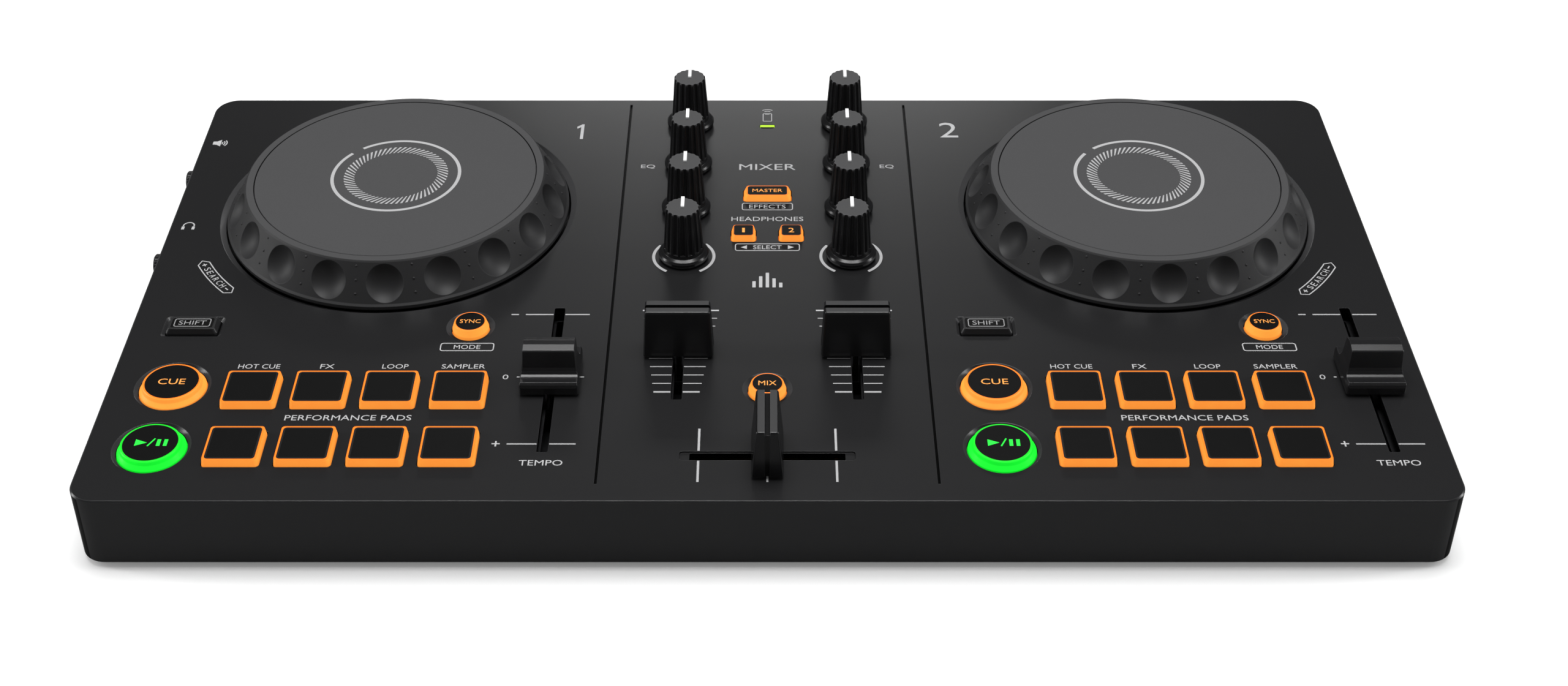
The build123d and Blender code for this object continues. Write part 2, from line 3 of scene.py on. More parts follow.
import bmesh
import bpy
from mathutils import Euler, Matrix, Vector


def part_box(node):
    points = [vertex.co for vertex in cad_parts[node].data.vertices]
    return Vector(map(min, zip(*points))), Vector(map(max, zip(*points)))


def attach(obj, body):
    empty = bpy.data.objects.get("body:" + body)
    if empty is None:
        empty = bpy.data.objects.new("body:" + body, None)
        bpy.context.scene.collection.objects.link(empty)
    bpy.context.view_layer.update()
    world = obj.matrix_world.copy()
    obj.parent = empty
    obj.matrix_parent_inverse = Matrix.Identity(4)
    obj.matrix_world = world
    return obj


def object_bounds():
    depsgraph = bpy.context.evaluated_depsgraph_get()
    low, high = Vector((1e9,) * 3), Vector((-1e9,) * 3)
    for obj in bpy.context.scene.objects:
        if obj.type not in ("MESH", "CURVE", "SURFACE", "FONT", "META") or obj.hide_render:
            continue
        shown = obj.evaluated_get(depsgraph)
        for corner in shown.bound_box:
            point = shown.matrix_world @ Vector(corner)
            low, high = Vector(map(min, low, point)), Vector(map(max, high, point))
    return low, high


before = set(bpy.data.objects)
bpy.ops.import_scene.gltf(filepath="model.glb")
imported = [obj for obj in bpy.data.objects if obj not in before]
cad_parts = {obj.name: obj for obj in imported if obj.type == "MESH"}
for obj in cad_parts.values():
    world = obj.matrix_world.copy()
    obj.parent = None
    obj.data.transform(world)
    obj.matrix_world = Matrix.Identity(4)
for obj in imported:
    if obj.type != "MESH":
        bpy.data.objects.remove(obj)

cad_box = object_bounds()
mm = 0.001
sides = (1, 2)

# ---------------------------------------------------------------- materials


def linear(*channels):
    """A colour given as 0 to 255 screen values, as the linear numbers a shader takes."""
    values = []
    for channel in channels:
        share = channel / 255
        values.append(share / 12.92 if share <= 0.04045 else ((share + 0.055) / 1.055) ** 2.4)
    return (*values, 1.0)


class Finish:
    """A material with a Principled surface, and short ways to add the nodes that feed it."""

    def __init__(self, name):
        self.material = bpy.data.materials.new(name)
        self.material.use_nodes = True
        self.tree = self.material.node_tree
        self.surface = self.tree.nodes["Principled BSDF"]
        self.place = self.add("ShaderNodeTexCoord").outputs["Object"]

    def put(self, socket, value):
        if isinstance(value, bpy.types.NodeSocket):
            self.tree.links.new(value, socket)
        else:
            socket.default_value = value

    def add(self, kind, settings=None, **inputs):
        made = self.tree.nodes.new(kind)
        for key, value in (settings or {}).items():
            setattr(made, key, value)
        for key, value in inputs.items():
            self.put(made.inputs[key.replace("_", " ")], value)
        return made

    def set(self, **inputs):
        for key, value in inputs.items():
            self.put(self.surface.inputs[key.replace("_", " ")], value)

    def noise(self, size, detail=2.0, place=None):
        """Noise from 0 to 1 whose lumps are about size metres wide."""
        made = self.add("ShaderNodeTexNoise", Vector=place or self.place, Scale=1 / size, Detail=detail)
        return made.outputs["Fac"]

    def spread(self, value, low, high, start=0.0, end=1.0):
        """value, where low becomes start and high becomes end, clamped."""
        made = self.add("ShaderNodeMapRange", Value=value, From_Min=low, From_Max=high, To_Min=start,
                        To_Max=end)
        return made.outputs["Result"]

    def maths(self, operation, first, second=0.0):
        made = self.add("ShaderNodeMath", {"operation": operation})
        self.put(made.inputs[0], first)
        self.put(made.inputs[1], second)
        return made.outputs[0]

    def mix(self, share, first, second):
        made = self.add("ShaderNodeMix", {"data_type": "RGBA"})
        self.put(made.inputs[0], share)
        self.put(made.inputs[6], first)
        self.put(made.inputs[7], second)
        return made.outputs[2]

    def along(self, axis):
        """How far along an axis the point lies, in metres."""
        return self.add("ShaderNodeSeparateXYZ", Vector=self.place).outputs[axis]

    def facing(self, axis):
        """How much the surface faces along an axis, from -1 to 1."""
        normal = self.add("ShaderNodeNewGeometry").outputs["Normal"]
        return self.add("ShaderNodeSeparateXYZ", Vector=normal).outputs[axis]

    def feed(self, name):
        """The node output that feeds one of the surface's inputs so far."""
        return self.surface.inputs[name].links[0].from_socket

    def skin(self, share, colour, roughness, blotch):
        """Covers the finish with a dull skin of another colour, as far as share says."""
        fine = self.noise(0.3 * mm, 3.0)
        tint = self.mix(self.spread(fine, 0.3, 0.7), shaded(colour, 1 - blotch), shaded(colour, 1 + blotch))
        rough = self.add("ShaderNodeMix", Factor=share)
        self.put(rough.inputs[2], self.feed("Roughness"))
        self.put(rough.inputs[3], self.spread(fine, 0.2, 0.8, roughness - 0.05, roughness + 0.05))
        self.set(Base_Color=self.mix(share, self.feed("Base Color"), tint), Roughness=rough.outputs[0])

    def soft_edge(self, radius):
        """The normal with edges rounded to radius, and a mask that is 1 on edges."""
        rounded = self.add("ShaderNodeBevel", {"samples": 4}, Radius=radius).outputs["Normal"]
        plain = self.add("ShaderNodeNewGeometry").outputs["Normal"]
        turned = self.add("ShaderNodeVectorMath", {"operation": "DOT_PRODUCT"})
        self.put(turned.inputs[0], rounded)
        self.put(turned.inputs[1], plain)
        return rounded, self.spread(turned.outputs["Value"], 0.995, 0.93)

    def bump(self, height, depth, normal=None):
        made = self.add("ShaderNodeBump", Height=height, Distance=depth)
        if normal is not None:
            self.put(made.inputs["Normal"], normal)
        return made.outputs["Normal"]


def shaded(colour, share):
    return (*[min(1.0, c * share) for c in colour[:3]], 1.0)


def plastic(name, colour, roughness, grain, depth, edge_wear_and_highlight=1.9, blotch=0.1, edge=0.25 * mm,
            specular=0.5, vary=0.012):
    """Moulded plastic: a fine spark-eroded grain, faint flow marks, and edges painted lighter, partly as
    rubbed wear and partly as a painted highlight.
    """
    made = Finish(name)
    fine = made.noise(grain, 3.0)
    broad = made.noise(38 * mm, 2.0)
    patch = made.noise(5 * mm, 3.0)
    body = made.mix(broad, shaded(colour, 1 - blotch), shaded(colour, 1 + blotch))
    body = made.mix(made.spread(fine, 0.35, 0.7, 0.0, 0.22), body, shaded(colour, 1.5))
    rounded, edges = made.soft_edge(edge)
    # Edges lighter in patches: partly rubbed wear, partly a painted highlight where the edges catch the
    # light.
    rubbed_and_highlit = made.maths("MULTIPLY", edges, made.spread(patch, 0.3, 0.6, 0.45, 1.0))
    body = made.mix(rubbed_and_highlit, body, shaded(colour, edge_wear_and_highlight))
    rough = made.maths("ADD", made.spread(patch, 0.25, 0.75, roughness - vary, roughness + vary),
                       made.spread(fine, 0.2, 0.8, -1.6 * vary, 1.6 * vary))
    made.set(Base_Color=body, Roughness=rough, Normal=made.bump(fine, depth, rounded))
    made.set(Specular_IOR_Level=specular)
    return made


def metal(name, colour, roughness, brush=None, grain=0.3 * mm):
    """Plated or drawn metal, with streaks along the brush direction where one is given, and a painted
    highlight that lightens its edges.
    """
    made = Finish(name)
    place = made.place
    if brush:
        place = made.add("ShaderNodeMapping", Vector=made.place, Scale=brush).outputs["Vector"]
    streak = made.noise(grain, 4.0, place)
    broad = made.noise(9 * mm, 2.0)
    body = made.mix(streak, shaded(colour, 0.78), shaded(colour, 1.12))
    body = made.mix(made.spread(broad, 0.55, 0.75, 0.0, 0.35), body, shaded(colour, 0.6))
    rounded, edges = made.soft_edge(0.15 * mm)
    # Painted highlight: the edges are painted lighter.
    body = made.mix(edges, body, shaded(colour, 1.35))
    made.set(Base_Color=body, Metallic=1.0)
    made.set(Roughness=made.spread(streak, 0.2, 0.8, roughness - 0.08, roughness + 0.1))
    made.set(Normal=made.bump(streak, 0.01 * mm, rounded))
    return made


spill = 0.05  # the share of a key's glow that reaches other surfaces


def lit(name, colour, deep, strength):
    """Milky key plastic lit from inside, deeper in colour on top and at its edges."""
    made = Finish(name)
    soft = made.noise(7 * mm, 2.0)
    fine = made.noise(0.5 * mm, 3.0)
    rounded, edges = made.soft_edge(0.35 * mm)
    body = made.mix(made.spread(soft, 0.3, 0.7), colour, shaded(colour, 1.1))
    topness = made.spread(made.facing("Z"), 0.55, 0.95)
    glow = made.mix(topness, body, deep)
    glow = made.mix(made.maths("MULTIPLY", edges, 0.35), glow, shaded(deep, 0.8))
    path = made.add("ShaderNodeLightPath")
    bounced = made.maths("MAXIMUM", path.outputs["Is Glossy Ray"], path.outputs["Is Diffuse Ray"])
    made.set(Base_Color=made.mix(made.maths("MULTIPLY", bounced, 1 - spill), glow, linear(8, 8, 8)))
    made.set(Roughness=made.spread(fine, 0.3, 0.7, 0.38, 0.5))
    made.set(Emission_Color=glow)
    made.set(Emission_Strength=made.spread(bounced, 0.0, 1.0, strength, strength * spill))
    made.set(Specular_IOR_Level=0.3)
    made.set(Normal=made.bump(fine, 0.006 * mm, rounded))
    return made


def narrow_light(made, centre_y, half):
    """Keeps the glow of the status light to a slim bar, dark along both of its edges."""
    away = made.maths("ABSOLUTE", made.maths("SUBTRACT", made.along("Y"), centre_y))
    share = made.spread(away, half, half * 0.8)
    for name in ("Base Color", "Emission Color"):
        made.put(made.surface.inputs[name], made.mix(share, linear(20, 26, 8), made.feed(name)))


def ink(name, colour, strength=0.0):
    """Screen-printed ink: slightly uneven cover, a little light of its own on backlit keys, and on the knob
    pointers a faint painted glow.
    """
    made = Finish(name)
    cover = made.noise(0.35 * mm, 4.0)
    broad = made.noise(6 * mm, 2.0)
    body = made.mix(made.spread(cover, 0.3, 0.7), shaded(colour, 0.86), colour)
    body = made.mix(made.spread(broad, 0.35, 0.7, 0.0, 0.4), body, shaded(colour, 0.92))
    made.set(Base_Color=body, Roughness=made.spread(cover, 0.3, 0.7, 0.5, 0.65))
    made.set(Normal=made.bump(cover, 0.004 * mm), Specular_IOR_Level=0.3)
    if strength:
        made.set(Emission_Color=body, Emission_Strength=strength)
    return made


def capped_plastic(name, colour, top_colour, top_z):
    """Glossy dark sides under a flat top at top_z that has a dull, lighter skin, with a painted highlight
    along the edges round the top.
    """
    made = plastic(name, colour, 0.24, 0.25 * mm, 0.003 * mm, edge_wear_and_highlight=5.0, edge=0.2 * mm)
    height = made.along("Z")
    top = made.maths("MULTIPLY", made.spread(made.facing("Z"), 0.93, 0.98),
                     made.maths("GREATER_THAN", height, top_z - 0.6 * mm))
    made.skin(top, top_colour, 0.55, 0.06)
    # Painted highlight: the edges near the top are painted bright.
    near_top = made.spread(height, top_z - 1.2 * mm, top_z - 0.4 * mm)
    crest_highlight = made.maths("MULTIPLY", made.soft_edge(0.4 * mm)[1], near_top)
    made.set(Base_Color=made.mix(crest_highlight, made.feed("Base Color"), shaded(top_colour, 2.2)))
    return made


def board_finish(name):
    """Solder mask over copper tracks, with bare pads."""
    made = Finish(name)
    grid = made.add("ShaderNodeTexVoronoi", {"distance": "CHEBYCHEV", "feature": "DISTANCE_TO_EDGE"},
                    Vector=made.place, Scale=1 / (4.5 * mm)).outputs["Distance"]
    tracks = made.spread(grid, 0.05, 0.07, 1.0, 0.0)
    dots = made.add("ShaderNodeTexVoronoi", Vector=made.place, Scale=1 / (6 * mm)).outputs["Distance"]
    pads = made.spread(dots, 0.1, 0.12, 1.0, 0.0)
    weave = made.noise(0.8 * mm, 2.0)
    mask = made.mix(weave, linear(12, 66, 38), linear(16, 78, 46))
    body = made.mix(tracks, mask, linear(30, 110, 62))
    body = made.mix(pads, body, linear(196, 168, 96))
    made.set(Base_Color=body, Roughness=made.spread(weave, 0.2, 0.8, 0.3, 0.42))
    made.set(Metallic=made.maths("MULTIPLY", pads, 0.8))
    made.set(Normal=made.bump(made.maths("ADD", tracks, pads), 0.03 * mm))
    return made


def dark_seam(made, half):
    """Painted shadow down the groove in the middle of a cap's front."""
    seam = made.spread(made.maths("ABSOLUTE", made.along("X")), half, half * 0.7)
    front = made.spread(made.facing("Y"), -0.5, -0.7)
    share = made.maths("MULTIPLY", seam, front)
    made.set(Base_Color=made.mix(share, made.feed("Base Color"), linear(4, 4, 4)))


groove_x = 50.35 * mm
groove_half = 0.6 * mm
rim_width = 1.5 * mm


def shade_panel(made):
    """Painted shade in the grooves and on the walls of the openings in the panel, and a painted sheen
    lightening the sideways-facing slopes of the round dishes.
    """
    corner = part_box("top_case")[1]
    side = made.maths("ABSOLUTE", made.along("X"))
    back = made.maths("ABSOLUTE", made.along("Y"))
    upward = made.facing("Z")
    inner = made.maths("MULTIPLY", made.maths("LESS_THAN", side, corner.x - rim_width),
                       made.maths("LESS_THAN", back, corner.y - rim_width))
    away = made.maths("ABSOLUTE", made.maths("SUBTRACT", side, groove_x))
    groove = made.spread(away, groove_half, groove_half * 0.8)
    wall = made.spread(made.maths("ABSOLUTE", upward), 0.5, 0.3)
    sunk = made.spread(made.along("Z"), corner.z - 0.05 * mm, corner.z - 0.3 * mm)
    # Painted shade: the grooves and the walls of the openings below the panel's top are darkened.
    dark = made.maths("MULTIPLY", made.maths("MULTIPLY", made.maths("MAXIMUM", groove, wall), inner), sunk)
    sideways = made.spread(made.maths("ABSOLUTE", made.facing("X")), 0.38, 0.5)
    # Painted sheen: slopes in the dishes that face sideways are painted lighter.
    dish = made.maths("MULTIPLY", made.maths("MULTIPLY", sideways, made.spread(upward, 0.6, 0.8)), inner)
    body = made.mix(dish, made.feed("Base Color"), linear(64, 64, 65))
    made.set(Base_Color=made.mix(dark, body, linear(6, 6, 6)))
    made.set(Specular_IOR_Level=made.spread(dark, 0.0, 1.0, 0.5, 0.05))


panel_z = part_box("top_case")[1].z
knob_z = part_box("high_knob_1")[1].z
fader_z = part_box("crossfader")[1].z
light_low, light_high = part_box("status_light_pipe")

case_finish = plastic("case_plastic", linear(28, 28, 29), 0.28, 0.4 * mm, 0.0006 * mm, edge_wear_and_highlight=3.0,
                      blotch=0.04, edge=0.3 * mm, vary=0.003)
shade_panel(case_finish)
cover_finish = plastic("cover_plastic", linear(33, 33, 34), 0.62, 0.7 * mm, 0.03 * mm)
jog_plate_finish = plastic("jog_plate_plastic", linear(65, 65, 66), 0.7, 0.3 * mm, 0.006 * mm, edge_wear_and_highlight=1.4,
                           blotch=0.04, specular=0.25)
jog_rim_finish = plastic("jog_rim_plastic", linear(40, 40, 41), 0.52, 0.3 * mm, 0.003 * mm, edge_wear_and_highlight=2.2,
                         blotch=0.06, specular=0.35)
rim_top = jog_rim_finish.spread(jog_rim_finish.facing("Z"), 0.97, 0.995)
jog_rim_finish.skin(rim_top, linear(63, 63, 64), 0.7, 0.04)
knob_finish = capped_plastic("knob_plastic", linear(22, 22, 23), linear(56, 56, 57), knob_z)
fader_finish = capped_plastic("fader_plastic", linear(22, 22, 23), linear(44, 44, 45), fader_z)
# The crossfader cap is painted darker than the fader caps, a painted shade for its front, which catches the
# overhead light.
crossfader_finish = capped_plastic("crossfader_plastic", linear(15, 15, 16), linear(44, 44, 45), fader_z)
dark_seam(crossfader_finish, 0.6 * mm)
tempo_finish = plastic("tempo_plastic", linear(26, 26, 27), 0.24, 0.25 * mm, 0.003 * mm, edge_wear_and_highlight=4.0)
plate_finish = plastic("key_top_plastic", linear(13, 13, 13), 0.45, 0.2 * mm, 0.003 * mm, edge_wear_and_highlight=1.6,
                       specular=0.1)
black_key_finish = plastic("black_key_plastic", linear(30, 30, 31), 0.4, 0.3 * mm, 0.006 * mm, edge_wear_and_highlight=2.2)
socket_plastic = plastic("socket_plastic", linear(24, 24, 25), 0.5, 0.4 * mm, 0.01 * mm)
hub_finish = plastic("hub_plastic", linear(222, 218, 206), 0.45, 0.4 * mm, 0.01 * mm, edge_wear_and_highlight=1.05,
                     blotch=0.04)
foot_finish = plastic("foot_rubber", linear(26, 26, 27), 0.75, 0.6 * mm, 0.05 * mm, edge_wear_and_highlight=1.4,
                      specular=0.3)
screw_finish = metal("screw_steel", linear(74, 74, 78), 0.35, grain=0.2 * mm)
frame_finish = metal("frame_steel", linear(60, 60, 62), 0.5, brush=(1, 0.06, 1))
pot_finish = metal("pot_shell", linear(150, 152, 156), 0.3, grain=0.5 * mm)
shaft_finish = metal("shaft_metal", linear(168, 168, 170), 0.28, brush=(1, 1, 0.08))
socket_finish = metal("socket_steel", linear(190, 192, 196), 0.25, brush=(0.1, 1, 1))
amber_finish = lit("amber_glow", linear(255, 148, 56), linear(234, 112, 22), 0.7)
green_finish = lit("green_glow", linear(16, 226, 44), linear(10, 190, 30), 0.75)
led_finish = lit("status_glow", linear(166, 208, 36), linear(150, 196, 28), 0.9)
narrow_light(led_finish, (light_low.y + light_high.y) / 2, 0.75 * mm)
white_ink = ink("white_ink", linear(186, 186, 187))
jog_ink = ink("jog_ink", linear(176, 176, 177))
amber_ink = ink("amber_legend", linear(232, 150, 70), 0.45)
green_ink = ink("green_legend", linear(30, 230, 60), 0.5)
grey_ink = ink("grey_legend", linear(150, 150, 151))
mask_ink = ink("mask_ink", linear(13, 13, 13))
# The knob pointers' white paint is given a faint painted glow; no lamp lights them.
pointer_paint_and_glow = ink("pointer_paint_and_glow", linear(246, 246, 246), 0.25)
board_surface = board_finish("circuit_board")


def phono_finish(name):
    """Plated barrels whose inner ring is coloured plastic, white for left and red for right."""
    made = metal(name, linear(198, 198, 200), 0.22, grain=0.4 * mm)
    low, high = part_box("rca_jacks")
    radius = 2.9 * mm
    reach = (high.z - low.z) / 2
    right = made.maths("GREATER_THAN", made.along("X"), (low.x + high.x) / 2)
    centre_x = made.spread(right, 0.0, 1.0, low.x + reach, high.x - reach)
    dx = made.maths("SUBTRACT", made.along("X"), centre_x)
    dz = made.maths("SUBTRACT", made.along("Z"), (low.z + high.z) / 2)
    squares = made.maths("ADD", made.maths("MULTIPLY", dx, dx), made.maths("MULTIPLY", dz, dz))
    inner = made.maths("LESS_THAN", made.maths("SQRT", squares), radius)
    tint = made.mix(right, linear(226, 224, 216), linear(176, 26, 24))
    speck = made.noise(0.4 * mm, 2.0)
    tint = made.mix(made.spread(speck, 0.3, 0.7, 0.0, 0.15), tint, linear(120, 110, 104))
    made.set(Base_Color=made.mix(inner, made.feed("Base Color"), tint))
    made.set(Metallic=made.maths("SUBTRACT", 1.0, inner))
    return made


phono_surface = phono_finish("phono_barrel")


def islands(mesh):
    """The mesh's separate shells: for each, its polygon numbers and its lowest and highest corner."""
    owner = {}
    parent = []

    def root(i):
        while parent[i] != i:
            parent[i] = parent[parent[i]]
            i = parent[i]
        return i

    index = []
    for vertex in mesh.vertices:
        key = tuple(round(c * 1e6) for c in vertex.co)
        if key not in owner:
            owner[key] = len(parent)
            parent.append(len(parent))
        index.append(owner[key])
    for polygon in mesh.polygons:
        first = root(index[polygon.vertices[0]])
        for v in polygon.vertices[1:]:
            parent[root(index[v])] = first
    shells = {}
    for polygon in mesh.polygons:
        shells.setdefault(root(index[polygon.vertices[0]]), []).append(polygon.index)
    found = []
    for members in shells.values():
        points = [mesh.vertices[v].co for p in members for v in mesh.polygons[p].vertices]
        low = Vector([min(p[k] for p in points) for k in range(3)])
        high = Vector([max(p[k] for p in points) for k in range(3)])
        found.append((members, low, high))
    return found


def piece(name, shape, finish):
    """A new object made of a bmesh, which is used up."""
    mesh = bpy.data.meshes.new(name)
    shape.to_mesh(mesh)
    shape.free()
    mesh.materials.append(finish.material)
    made = bpy.data.objects.new(name, mesh)
    bpy.context.scene.collection.objects.link(made)
    return made


def coat(node, finish, second=None, test=None):
    """Gives a CAD node its finish, and the second finish to each shell whose corners pass the test."""
    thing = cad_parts[node]
    thing.data.materials.clear()
    thing.data.materials.append(finish.material)
    if second is None:
        return None
    thing.data.materials.append(second.material)
    found = None
    for members, low, high in islands(thing.data):
        if test(low, high):
            found = (low, high)
            for p in members:
                thing.data.polygons[p].material_index = 1
    return found


def top_of(node):
    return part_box(node)[1].z


def middle(node):
    low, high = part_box(node)
    return (low + high) / 2


coat("top_case", case_finish)
coat("bottom_cover", cover_finish)
coat("case_screws", screw_finish)
coat("rubber_feet", foot_finish)
coat("main_board", board_surface)
coat("slider_frames", frame_finish)
coat("potentiometers", pot_finish)
coat("key_switches", socket_plastic)
coat("jog_hubs", hub_finish)
coat("usb_ports", socket_finish)
coat("rca_jacks", phono_surface)
coat("headphone_jack", socket_plastic)
coat("status_light_pipe", led_finish)

knob_rows = ("filter", "low", "mid", "high")
knobs = [f"{row}_knob_{side}" for row in knob_rows for side in sides]
dials = ["master_level_dial", "headphone_level_dial"]
pads = [f"pad_{side}_{number}" for side in sides for number in range(1, 9)]
amber_keys = pads + ["mix_button", "master_button"]
for side in sides:
    amber_keys += [f"cue_button_{side}", f"sync_button_{side}", f"headphone_button_{side}"]
    coat(f"jog_{side}_rim", jog_rim_finish)
    coat(f"jog_{side}_plate", jog_plate_finish)

shaft_width = 7 * mm
lever_width = 2.2 * mm
plate_drop = 0.9 * mm


def is_shaft(low, high):
    return high.x - low.x < shaft_width


def is_dial_shaft(low, high):
    return high.z - low.z < shaft_width / 2


def is_lever(low, high):
    return min(high.x - low.x, high.y - low.y) < lever_width


def is_plate(node):
    limit = top_of(node) - plate_drop
    return lambda low, high: low.z > limit


for name in knobs:
    coat(name, knob_finish, shaft_finish, is_shaft)
for name in dials:
    coat(name, knob_finish, shaft_finish, is_dial_shaft)
plates = {name: coat(name, amber_finish, plate_finish, is_plate(name)) for name in amber_keys}
for side in sides:
    coat(f"play_button_{side}", green_finish, plate_finish, is_plate(f"play_button_{side}"))
    coat(f"shift_button_{side}", black_key_finish, plate_finish, is_plate(f"shift_button_{side}"))
    coat(f"tempo_slider_{side}", tempo_finish, socket_plastic, is_lever)
    coat(f"channel_fader_{side}", fader_finish, socket_plastic, is_lever)
coat("crossfader", crossfader_finish, socket_plastic, is_lever)

# ---------------------------------------------------------------- printed marks

ink_depth = 0.03 * mm
ink_height = 0.04 * mm
arc_step = math.radians(4)


class Print:
    """One layer of printed marks on a level surface. Lengths given to it are in millimetres."""

    def __init__(self, name, surface_z, origin=(0.0, 0.0)):
        self.name = name
        self.shape = bmesh.new()
        self.low = surface_z - ink_depth
        self.high = surface_z + ink_height
        self.origin = Vector((origin[0], origin[1], 0))

    def spot(self, point, z):
        return self.shape.verts.new((self.origin.x + point[0] * mm, self.origin.y + point[1] * mm, z))

    def outline(self, points):
        """A filled shape inside a ring of points, counter-clockwise."""
        low = [self.spot(p, self.low) for p in points]
        high = [self.spot(p, self.high) for p in points]
        self.shape.faces.new(low[::-1])
        self.shape.faces.new(high)
        for i in range(len(points)):
            j = (i + 1) % len(points)
            self.shape.faces.new((low[i], low[j], high[j], high[i]))

    def band(self, inner, outer, closed):
        """A line between two rows of points."""
        count = len(inner)
        rows = [[self.spot(p, z) for p in row] for row in (inner, outer) for z in (self.low, self.high)]
        a, b, c, d = rows
        for i in range(count if closed else count - 1):
            j = (i + 1) % count
            self.shape.faces.new((b[i], b[j], d[j], d[i]))
            self.shape.faces.new((a[j], a[i], c[i], c[j]))
            self.shape.faces.new((a[i], a[j], b[j], b[i]))
            self.shape.faces.new((c[j], c[i], d[i], d[j]))
        if not closed:
            self.shape.faces.new((a[0], b[0], d[0], c[0]))
            self.shape.faces.new((b[-1], a[-1], c[-1], d[-1]))

    def line(self, start, end, width):
        a, b = Vector(start), Vector(end)
        across = (b - a).orthogonal().normalized() * width / 2
        self.outline([a - across, b - across, b + across, a + across])

    def arc(self, centre, inner, outer, start, end):
        """Part of a ring, from start to end degrees."""
        first, last = math.radians(start), math.radians(end)
        count = max(2, round(abs(last - first) / arc_step))
        angles = [first + (last - first) * i / count for i in range(count + 1)]
        ring = lambda r: [(centre[0] + r * math.cos(t), centre[1] + r * math.sin(t)) for t in angles]
        self.band(ring(inner), ring(outer), False)

    def box(self, centre, width, height, line, radius):
        """A frame with rounded corners."""
        def ring(inset):
            points = []
            corner = radius - inset
            for turn in range(4):
                for i in range(5):
                    angle = math.pi / 2 * (turn + i / 4)
                    sx = (1, -1, -1, 1)[turn] * (width / 2 - radius)
                    sy = (1, 1, -1, -1)[turn] * (height / 2 - radius)
                    x = centre[0] + sx + corner * math.cos(angle)
                    y = centre[1] + sy + corner * math.sin(angle)
                    points.append((x, y))
            return points
        self.band(ring(line), ring(0.0), True)

    def words(self, body, centre, height, width=None, turn=0.0, bold=0.0):
        """Lettering centred on a point, with capitals of this height."""
        curve = bpy.data.curves.new("words", "FONT")
        curve.body = body
        curve.offset = bold
        curve.resolution_u = 3
        curve.extrude = 0.5
        holder = bpy.data.objects.new("words", curve)
        bpy.context.scene.collection.objects.link(holder)
        sheet = bpy.data.meshes.new_from_object(holder.evaluated_get(bpy.context.evaluated_depsgraph_get()))
        xs = [v.co.x for v in sheet.vertices]
        ys = [v.co.y for v in sheet.vertices]
        span_x, span_y = max(xs) - min(xs), max(ys) - min(ys)
        tall = height * mm / span_y
        wide = width * mm / span_x if width else tall * letter_stretch
        shift = Matrix.Translation((-(max(xs) + min(xs)) / 2, -(max(ys) + min(ys)) / 2, 0))
        size = Matrix.Diagonal((wide, tall, self.high - self.low, 1.0))
        where = self.origin + Vector((centre[0] * mm, centre[1] * mm, (self.low + self.high) / 2))
        sheet.transform(Matrix.Translation(where) @ Matrix.Rotation(turn, 4, "Z") @ size @ shift)
        self.shape.from_mesh(sheet)
        bpy.data.objects.remove(holder)
        bpy.data.curves.remove(curve)
        bpy.data.meshes.remove(sheet)

    def finish(self, body, finish):
        bmesh.ops.remove_doubles(self.shape, verts=self.shape.verts, dist=1e-7)
        bmesh.ops.recalc_face_normals(self.shape, faces=self.shape.faces)
        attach(piece(self.name, self.shape, finish), body)


letter_stretch = 1.25  # how much wider than its own shape lettering without a set width is drawn
thin = 0.5
label_height = 2.2
slot_edge = 1.9  # where the scale lines start, from the middle of a slot

fader_marks = 11
fader_pitch = 4.2
fader_reach = 12.3  # where the rearmost scale line ends, from the middle of the slot
fader_taper = 0.515  # how much shorter each next line is
filter_arc = (9.6, 10.6)  # inner and outer radius
light_y = (light_low.y + light_high.y) / 2 / mm


def mixer_print(layer):
    """Fader scales, knob arcs, tick dots and EQ labels, on both sides of the mixer."""
    x = middle("channel_fader_2").x / mm
    fader_y = middle("channel_fader_2").y / mm
    knob_y = middle("filter_knob_2").y / mm
    for sign in (-1, 1):
        for i in range(fader_marks):
            y = fader_y + fader_pitch * (fader_marks // 2 - i)
            reach = fader_reach - fader_taper * i
            width = 0.7 if i in (0, fader_marks - 1) else 0.38
            layer.line((sign * x - reach, y), (sign * x - slot_edge, y), width)
            layer.line((sign * x + slot_edge, y), (sign * x + reach, y), width)
        layer.arc((sign * x, knob_y), *filter_arc, 141, 237)
        layer.arc((sign * x, knob_y), *filter_arc, -57, 45)
        for row in knob_rows[1:]:
            y = middle(f"{row}_knob_1").y / mm
            layer.arc((sign * (x - 5.5), y - 1.2), 0.0001, 0.45, 0, 359.9)
        layer.words("EQ", (sign * 42.4, 66.2), 2.6, 5.0)


def crossfader_print(layer):
    """The upright end marks beside the crossfader's slot and the middle mark in front of it."""
    y = middle("crossfader").y / mm
    end_x, gap, rear, front = 20.5, 2.3, -79.0, -103.3
    for sign in (-1, 1):
        layer.line((sign * end_x, rear), (sign * end_x, y + gap), 0.7)
        layer.line((sign * end_x, y - gap), (sign * end_x, front), 0.7)
    layer.line((0, front + 2.8), (0, front), 0.6)


def badge(layer, word, y, width, height, word_height, word_width):
    """A word in a rounded frame, on the middle line of the mixer."""
    layer.box((0, y), width, height, 0.35, 1.0)
    layer.words(word, (0, y), word_height, word_width)


